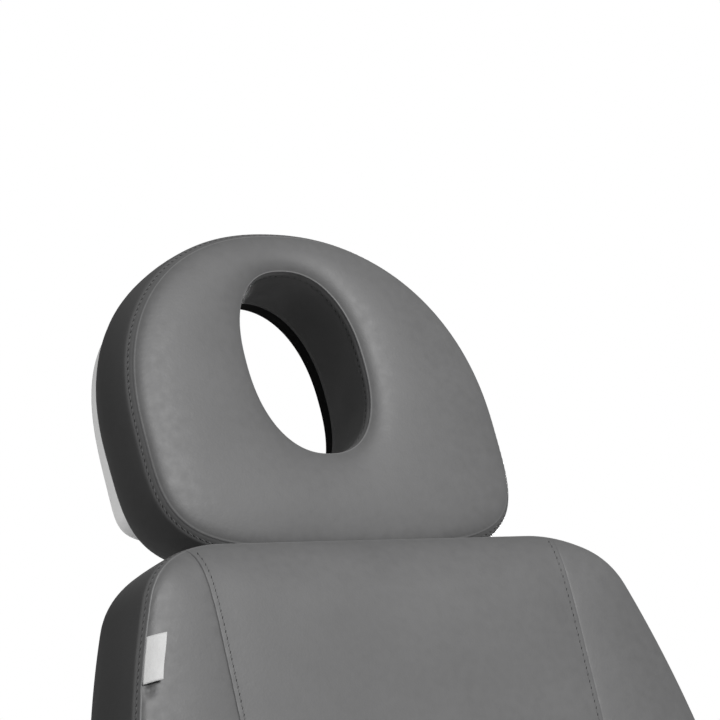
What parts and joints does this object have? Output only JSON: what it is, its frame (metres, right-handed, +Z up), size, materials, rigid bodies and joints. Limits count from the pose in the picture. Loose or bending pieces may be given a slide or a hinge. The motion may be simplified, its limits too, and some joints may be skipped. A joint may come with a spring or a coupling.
{
  "type": "electric pedicure chair",
  "caption": "Salon treatment chair with a lifting column, tilting seat, reclining backrest, headrest with a face hole, split leg rests and folding armrests.",
  "frame": {"origin": "centre of the chair's box on the floor, chair at rest", "axes": "+Z up, the sitter faces -Y, +X to the sitter's left"},
  "size_m": [0.806, 1.4578, 1.5226],
  "materials": {
    "leather": "satin",
    "white_paint": "satin",
    "white_plastic": "satin",
    "plywood": "matte",
    "black_plastic": "matte",
    "grey_plastic": "satin",
    "steel": "satin",
    "aluminium": "satin",
    "rubber": "matte"
  },
  "bodies": {
    "base": {"base_plate": "white_paint", "base_cover": "white_plastic", "foot_front_left": "rubber", "foot_front_right": "rubber", "foot_rear_left": "rubber", "foot_rear_right": "rubber", "column_outer": "white_paint", "lift_actuator": "black_plastic", "mains_inlet": "black_plastic"},
    "column_stage": {"column_middle": "white_paint", "lift_spindle_middle": "steel"},
    "column_top": {"column_inner": "white_paint", "column_head": "white_paint", "lift_spindle_inner": "steel", "tilt_actuator": "black_plastic"},
    "tilt_pushrod": {"tilt_rod": "steel"},
    "seat": {"seat_rail_left": "white_paint", "seat_rail_right": "white_paint", "seat_cradle": "white_paint", "seat_board": "plywood", "seat_cushion": "leather", "leg_hinge_shaft": "steel", "back_hinge_shaft": "steel", "control_box": "black_plastic", "back_actuator": "black_plastic", "arm_post_left": "white_paint", "arm_post_right": "white_paint", "handset_holder": "black_plastic", "handset_body": "grey_plastic"},
    "key_lift": {"key_lift": "white_plastic"},
    "key_back": {"key_back": "white_plastic"},
    "key_tilt": {"key_tilt": "white_plastic"},
    "back_pushrod": {"back_rod": "steel"},
    "backrest": {"back_rail_left": "white_paint", "back_rail_right": "white_paint", "back_cross_tube": "white_paint", "back_board": "plywood", "back_cushion": "leather", "back_cover": "white_plastic", "headrest_socket": "aluminium"},
    "head_clamp": {"headrest_knob": "black_plastic"},
    "head_rods": {"headrest_rods": "steel"},
    "headrest": {"headrest_bracket": "steel", "headrest_board": "plywood", "headrest_cushion": "leather", "headrest_cover": "white_plastic"},
    "leg_left": {"leg_frame_left": "white_paint"},
    "leg_pad_left": {"leg_slider_left": "steel", "leg_board_left": "plywood", "leg_cushion_left": "leather"},
    "leg_clamp_left": {"leg_knob_left": "black_plastic"},
    "arm_left": {"arm_beam_left": "white_paint", "arm_pad_left": "leather"},
    "leg_right": {"leg_frame_right": "white_paint"},
    "leg_pad_right": {"leg_slider_right": "steel", "leg_board_right": "plywood", "leg_cushion_right": "leather"},
    "leg_clamp_right": {"leg_knob_right": "black_plastic"},
    "arm_right": {"arm_beam_right": "white_paint", "arm_pad_right": "leather"}
  },
  "joints": [
    {"name": "lift", "type": "slide", "parent": "base", "child": "column_top", "axis": [0, 0, 1], "range_m": [0, 0.26]},
    {"name": "lift_stage", "type": "slide", "parent": "base", "child": "column_stage", "axis": [0, 0, 1], "range_m": [0, 0.131]},
    {"name": "seat_tilt", "type": "hinge", "parent": "column_top", "child": "seat", "pos_m": [0, -0.04543, 0.4229], "axis": [-1, 0, 0], "range_deg": [0, 12]},
    {"name": "tilt_push", "type": "slide", "parent": "column_top", "child": "tilt_pushrod", "axis": [0, -1, 0], "range_m": [0, 0.02437]},
    {"name": "back_recline", "type": "hinge", "parent": "seat", "child": "backrest", "pos_m": [0, 0.22457, 0.5405], "axis": [-1, 0, 0], "range_deg": [-10.1, 62.9]},
    {"name": "back_push", "type": "slide", "parent": "seat", "child": "back_pushrod", "axis": [0, -1, 0], "range_m": [-0.02241, 0.13696]},
    {"name": "head_height", "type": "slide", "parent": "backrest", "child": "head_rods", "axis": [0, 0.3762, 0.9265], "range_m": [0, 0.08]},
    {"name": "head_tilt", "type": "hinge", "parent": "head_rods", "child": "headrest", "pos_m": [0, 0.6182, 1.23264], "axis": [-1, 0, 0], "range_deg": [-5, 40]},
    {"name": "head_clamp_turn", "type": "hinge", "parent": "backrest", "child": "head_clamp", "pos_m": [0.07, 0.59393, 1.11095], "axis": [0, 0.9265, -0.3762], "continuous": true},
    {"name": "key_lift_rock", "type": "hinge", "parent": "seat", "child": "key_lift", "pos_m": [-0.31725, -0.15043, 0.5842], "axis": [0, 1, 0], "range_deg": [-4, 4], "stiffness_Nm_per_rad": 0.1},
    {"name": "key_back_rock", "type": "hinge", "parent": "seat", "child": "key_back", "pos_m": [-0.31725, -0.15043, 0.5542], "axis": [0, 1, 0], "range_deg": [-4, 4], "stiffness_Nm_per_rad": 0.1},
    {"name": "key_tilt_rock", "type": "hinge", "parent": "seat", "child": "key_tilt", "pos_m": [-0.31725, -0.15043, 0.5242], "axis": [0, 1, 0], "range_deg": [-4, 4], "stiffness_Nm_per_rad": 0.1},
    {"name": "leg_left_turn", "type": "hinge", "parent": "seat", "child": "leg_left", "pos_m": [0, -0.29543, 0.4649], "axis": [-1, 0, 0], "range_deg": [-20, 35]},
    {"name": "leg_left_slide", "type": "slide", "parent": "leg_left", "child": "leg_pad_left", "axis": [0, -0.8192, -0.5736], "range_m": [0, 0.12]},
    {"name": "leg_left_clamp_turn", "type": "hinge", "parent": "leg_left", "child": "leg_clamp_left", "pos_m": [0.165, -0.51946, 0.31413], "axis": [0, 0.5736, -0.8192], "continuous": true},
    {"name": "arm_left_fold", "type": "hinge", "parent": "seat", "child": "arm_left", "pos_m": [0.36, 0.08457, 0.7305], "axis": [-1, 0, 0], "range_deg": [0, 105]},
    {"name": "leg_right_turn", "type": "hinge", "parent": "seat", "child": "leg_right", "pos_m": [0, -0.29543, 0.4649], "axis": [-1, 0, 0], "range_deg": [-20, 35]},
    {"name": "leg_right_slide", "type": "slide", "parent": "leg_right", "child": "leg_pad_right", "axis": [0, -0.8192, -0.5736], "range_m": [0, 0.12]},
    {"name": "leg_right_clamp_turn", "type": "hinge", "parent": "leg_right", "child": "leg_clamp_right", "pos_m": [-0.165, -0.51946, 0.31413], "axis": [0, 0.5736, -0.8192], "continuous": true},
    {"name": "arm_right_fold", "type": "hinge", "parent": "seat", "child": "arm_right", "pos_m": [-0.36, 0.08457, 0.7305], "axis": [-1, 0, 0], "range_deg": [0, 105]}
  ],
  "couplings": [
    {"joint": "lift_stage", "follows": "lift", "ratio": 0.5},
    {"joint": "tilt_push", "follows": "seat_tilt", "m_per_rad": 0.11542},
    {"joint": "back_push", "follows": "back_recline", "m_per_rad": 0.1243}
  ]
}
